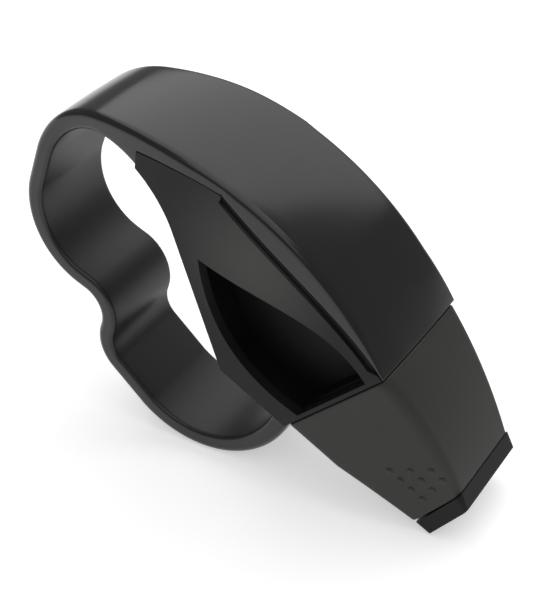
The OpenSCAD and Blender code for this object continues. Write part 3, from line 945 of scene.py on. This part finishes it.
def grouped(tree, make, **named):
    """Places a shader group, which the function of its name makes once, in a material."""
    group = bpy.data.node_groups.get(make.__name__) or make()
    return placed(tree, "ShaderNodeGroup", node_tree=group, **named)


def attribute(tree, name):
    """A value that the mesh keeps on its points."""
    return placed(tree, "ShaderNodeAttribute", attribute_name=name, output="Fac")


def moulded_skin():
    """Fine grain and cloudy handling marks of moulded plastic or rubber."""
    tree, given, out = node_tree(
        "ShaderNodeTree", "moulded_skin",
        {"Vector": "Vector", "Color": "Colour, Worn colour",
         "Float": "Wear, Gloss, Gloss spread, Grain scale, Cloud scale"},
        {"Color": "Colour", "Float": "Roughness, Height"})
    vector, spread = given["Vector"], given["Gloss spread"]
    grain = placed(tree, "ShaderNodeTexNoise", Vector=vector, Scale=given["Grain scale"],
                   Detail=4.0, Roughness=0.6)
    cloud = placed(tree, "ShaderNodeTexNoise", Vector=vector, Scale=given["Cloud scale"],
                   Detail=3.0, Roughness=0.55)
    swing = (cloud - 0.5) * spread + (grain - 0.5) * (spread * 0.5)
    mask = ((cloud - CLOUD_START) * CLOUD_SLOPE).clamped() * given["Wear"]
    fed(out, Colour=mixed(mask, given["Colour"], given["Worn colour"]),
        Roughness=(given["Gloss"] + swing).clamped(), Height=grain)
    return tree


def hairlines():
    """Faint scratches: thin lines of a stretched noise, as a mask."""
    tree, given, out = node_tree("ShaderNodeTree", "hairlines",
                                 {"Vector": "Vector", "Float": "Scale, Amount"},
                                 {"Float": "Mask"})
    stretched = placed(tree, "ShaderNodeMapping", Vector=given["Vector"],
                       Rotation=(0.3, 0.9, 0.5), Scale=(0.08, 1.0, 0.5))
    noise = placed(tree, "ShaderNodeTexNoise", Vector=stretched, Scale=given["Scale"],
                   Detail=2.0, Roughness=0.5)
    line = (1.0 - (noise - 0.5).maths("ABSOLUTE") * HAIR_SHARPNESS).clamped()
    fed(out, Mask=line * given["Amount"])
    return tree


def painted_highlight_mask():
    """A painted highlight: a paler patch, seen from the side, as a mask with a soft border."""
    tree, given, out = node_tree("ShaderNodeTree", "painted_highlight_mask",
                                 {"Vector": "Vector, Middle", "Float": "Radius"},
                                 {"Float": "Mask"})
    flat = given["Vector"].vector("SUBTRACT", given["Middle"]).vector("MULTIPLY", (1, 0, 1))
    span = flat.vector("LENGTH", output="Value") / given["Radius"]
    fed(out, Mask=placed(tree, "ShaderNodeMapRange", Value=span, To_Min=1.0, To_Max=0.0,
                         interpolation_type="SMOOTHSTEP"))
    return tree


def finish_of(name, tone, worn, wear, gloss, spread, grain, cloud, bump, scratch=0.0, edge=0.0,
              sheen=0.5, painted_highlight=None, inside=0.0):
    """A plastic or rubber finish from the shared shader groups."""
    material, tree, shader = new_material(name)
    place = placed(tree, "ShaderNodeTexCoord", output="Object")
    skin = grouped(tree, moulded_skin, Vector=place, Colour=tone, Worn_colour=worn, Wear=wear,
                   Gloss=gloss, Gloss_spread=spread, Grain_scale=grain, Cloud_scale=cloud)
    base, rough = skin, skin.beside("Roughness")
    if scratch:
        rough = rough + grouped(tree, hairlines, Vector=place, Scale=HAIR_SCALE, Amount=scratch)
    if inside:
        rough = rough + attribute(tree, "finger_side") * inside
    # painted highlight: the base colour turns paler inside the patch
    if painted_highlight:
        middle, radius, highlight_tone = painted_highlight
        mask = grouped(tree, painted_highlight_mask, Vector=place, Middle=middle, Radius=radius)
        base = mixed(mask, base, highlight_tone)
    if edge:
        base = mixed(attribute(tree, "edge") * edge, base, worn)
    relief = placed(tree, "ShaderNodeBump", Height=skin.beside("Height"), Distance=bump,
                    Strength=1.0)
    fed(shader, Base_Color=base, Roughness=rough, Normal=relief, Specular_IOR_Level=sheen)
    return material


def band_finish(tone):
    return finish_of("gloss_black_plastic", tone, (0.02, 0.0205, 0.019), wear=0.35, gloss=0.17,
                     spread=0.07, grain=4200.0, cloud=110.0, bump=1.2e-6, scratch=0.03, edge=0.3,
                     inside=0.28)


# The covers carry a painted highlight, paler round a middle point of each side
def cover_finish(tone, highlight_tone, painted_highlight, radius):
    return finish_of("satin_charcoal_plastic", tone, [WORN_TONE * c for c in tone], wear=0.5,
                     gloss=0.45, spread=0.14, grain=5200.0, cloud=140.0, bump=4e-6, scratch=0.05,
                     sheen=0.2, painted_highlight=(painted_highlight, radius, highlight_tone))


def core_finish(tone):
    if "dark_core_plastic" in bpy.data.materials:
        return bpy.data.materials["dark_core_plastic"]
    return finish_of("dark_core_plastic", tone, (0.012, 0.012, 0.0115), wear=0.4, gloss=0.55,
                     spread=0.12, grain=4200.0, cloud=150.0, bump=2e-6, sheen=0.22)


def soft_finish(tone):
    return finish_of("soft_mouth_rubber", tone, (0.034, 0.034, 0.031), wear=0.6, gloss=0.62,
                     spread=0.16, grain=6500.0, cloud=120.0, bump=8e-6)


# Stage


def axes_at(place, *axes):
    """Matrix of an object at a place, with its three axes along the given ones."""
    return Matrix.Translation(place) @ Matrix(axes).transposed().to_4x4()


def soft_light(name, power, place, along, size):
    """A rectangular lamp that faces the whistle's middle and that the camera doesn't see."""
    place, along = Vector(place), Vector(along)
    back = (place - Vector((0, 0, BOX_HIGH.z / 2))).normalized()
    side = (along - back * along.dot(back)).normalized()
    light = bpy.data.lights.new(name, "AREA")
    light.shape = "RECTANGLE"
    light.size, light.size_y = size
    light.energy = power
    lamp = new_object(name, light)
    lamp.matrix_world = axes_at(place, side.cross(back), side, back)
    lamp.visible_camera = False


def floor_material():
    """White floor that keeps the shadow near the object and turns plain white further off."""
    material, tree, shader = new_material("white_floor")
    place = placed(tree, "ShaderNodeTexCoord", output="Object")
    far = placed(tree, "ShaderNodeMapRange", Value=place.vector("LENGTH", output="Value"),
                 From_Min=0.12, From_Max=0.6, interpolation_type="SMOOTHSTEP")
    camera = placed(tree, "ShaderNodeLightPath", output="Is Camera Ray")
    glossy, through = camera.beside("Is Glossy Ray"), camera.beside("Is Transmission Ray")
    seen = camera.maths("MAXIMUM", glossy.maths("MAXIMUM", through))
    glow = placed(tree, "ShaderNodeMapRange", Value=far, To_Min=0.5, To_Max=1.0)
    fed(shader, Base_Color=mixed(far, [FLOOR_WHITE] * 3, (0, 0, 0)), Roughness=0.9,
        Specular_IOR_Level=0.0, Emission_Color=(1, 1, 1), Emission_Strength=seen * glow)
    return material


def floor_piece(s):
    """Square floor that the object stands on."""
    bm = bmesh.new()
    bmesh.ops.create_grid(bm, x_segments=1, y_segments=1, size=s.floor_size / 2)
    mesh = bpy.data.meshes.new("floor")
    filled(mesh, bm)
    mesh.materials.append(floor_material())
    return new_object("floor", mesh)


def card_piece(s):
    """Grey card on the floor that shows in the gloss alone, where it hides floor and lamp."""
    rows = ((-s.card_width, 0), (s.card_foot, 0),
            (s.card_foot + s.card_lean * s.card_height, s.card_height),
            (-s.card_width, s.card_height))
    away = Vector((math.cos(s.card_turn), math.sin(s.card_turn), 0))
    left = Vector((-away.y, away.x, 0))
    mesh = bpy.data.meshes.new("grey_card")
    mesh.from_pydata([s.card_gap * away + x * left + Vector((0, 0, z)) for x, z in rows], [],
                     [(0, 1, 2, 3)])
    material, _, shader = new_material("grey_card")
    fed(shader, Base_Color=(0, 0, 0), Specular_IOR_Level=0.0, Emission_Color=(0.25, 0.25, 0.25),
        Emission_Strength=1.0)
    mesh.materials.append(material)
    card = new_object("grey_card", mesh)
    card.visible_camera = card.visible_diffuse = card.visible_shadow = False
    return card


def studio_world():
    """Plain white for the camera, and for the object grey above a white horizon."""
    world = bpy.data.worlds.new("studio")
    world.use_nodes = True
    tree = world.node_tree
    way = placed(tree, "ShaderNodeTexCoord", output="Generated")
    height = placed(tree, "ShaderNodeSeparateXYZ", way, output="Z")
    sky = placed(tree, "ShaderNodeValToRGB", height)
    ramp = sky.socket.node.color_ramp.elements
    for element, place, tone in zip(ramp, (0.0, HORIZON), (1, SKY_GREY)):
        element.position = place
        element.color = (tone, tone, tone, 1)
    camera = placed(tree, "ShaderNodeLightPath", output="Is Camera Ray")
    fed(tree.nodes["Background"], Color=mixed(camera, sky, (1, 1, 1)), Strength=1.0)
    return world


def camera_object(view, s):
    """The camera, whose place and directions are given in the side view."""
    lens = bpy.data.cameras.new("camera")
    lens.lens = s.lens
    lens.clip_start, lens.clip_end = 0.005, 50
    right = view.stood_3d(s.camera_right, is_point=False)
    aim = view.stood_3d(s.camera_aim, is_point=False).normalized()
    up = right.cross(aim).normalized()
    camera = new_object("camera", lens)
    camera.matrix_world = axes_at(view.stood_3d(s.camera_place), aim.cross(up), up, -aim)
    return camera


class WHISTLE_OT_stage(bpy.types.Operator):
    """Set up the floor, the soft light and the camera"""

    bl_idname = "whistle.stage"
    bl_label = "Stage"

    def execute(self, context):
        scene = context.scene
        s = scene.whistle_stage
        floor = floor_piece(s)
        scene.world = studio_world()
        scene.view_settings.view_transform = "Standard"
        soft_light("key", s.key_power, place=(-0.03, 0.36, 0.76), along=(0, 0, 1),
                   size=(1.3, 1.25))
        soft_light("fill", s.fill_power, place=(0.22, -0.48, 0.9), along=(0, 1, 0),
                   size=(0.8, 0.8))
        card_piece(s)
        scene.camera = camera_object(side_view(scene), s)
        return {"FINISHED"}


# Panel


class WHISTLE_PT_panel(bpy.types.Panel):
    bl_idname = "WHISTLE_PT_panel"
    bl_label = "Finger-grip whistle"
    bl_space_type = "VIEW_3D"
    bl_region_type = "UI"
    bl_category = "Whistle"

    def draw(self, context):
        for name in STEPS:
            self.layout.operator(f"whistle.{name}")


GROUPS = {"whistle_band": WhistleBandSizes, "whistle_body": WhistleBodySizes,
          "whistle_pips": WhistlePipSizes, "whistle_finish": WhistleFinish,
          "whistle_stage": WhistleStage}
STEPS = ("band", "covers", "core", "mouth_grip", "stage")
CLASSES = (*GROUPS.values(), WHISTLE_OT_band, WHISTLE_OT_covers, WHISTLE_OT_core,
           WHISTLE_OT_mouth_grip, WHISTLE_OT_stage, WHISTLE_PT_panel)


def register():
    for cls in CLASSES:
        bpy.utils.register_class(cls)
    for name, group in GROUPS.items():
        setattr(bpy.types.Scene, name, PointerProperty(type=group))


def unregister():
    for name in GROUPS:
        delattr(bpy.types.Scene, name)
    for cls in reversed(CLASSES):
        bpy.utils.unregister_class(cls)


def main():
    register()
    for name in STEPS:
        getattr(bpy.ops.whistle, name)()


if __name__ == "__main__":
    main()
